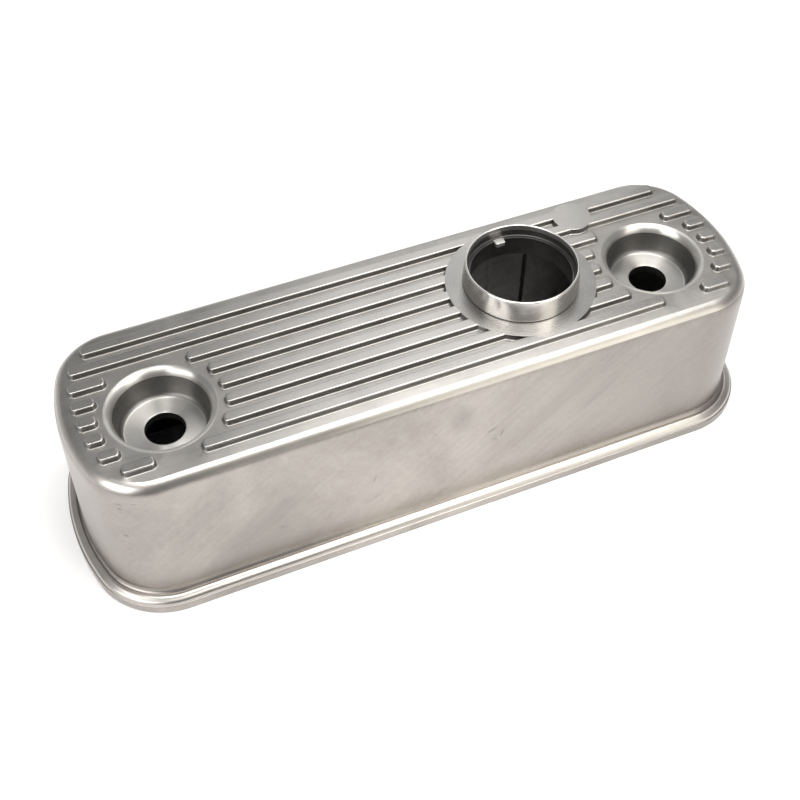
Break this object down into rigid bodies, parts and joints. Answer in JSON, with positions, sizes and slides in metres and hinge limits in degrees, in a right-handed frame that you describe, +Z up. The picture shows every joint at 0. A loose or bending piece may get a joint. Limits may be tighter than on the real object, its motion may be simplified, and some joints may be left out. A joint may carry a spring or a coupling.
{
  "type": "ribbed rocker cover",
  "caption": "Deep cast-aluminium rocker cover, open underneath, with ribbed top, sunk stud wells, bayonet filler neck and rolled sealing flange.",
  "frame": {"origin": "centre of the open underside, on the gasket face of the flange", "axes": "+X along the cover towards the filler neck, +Y to the side away from the stud holes' offset, +Z up through the ribbed top"},
  "size_m": [0.3914, 0.1316, 0.1072],
  "materials": {
    "cast_alloy": "hand-polished casting, satin, with fine scratches and a few pits",
    "turned_alloy": "bright lathe-turned",
    "ring_steel": "plain bright steel"
  },
  "bodies": {
    "root": {"cover_casting": "cast_alloy", "filler_neck": "turned_alloy", "bayonet_ring": "ring_steel"}
  },
  "joints": []
}
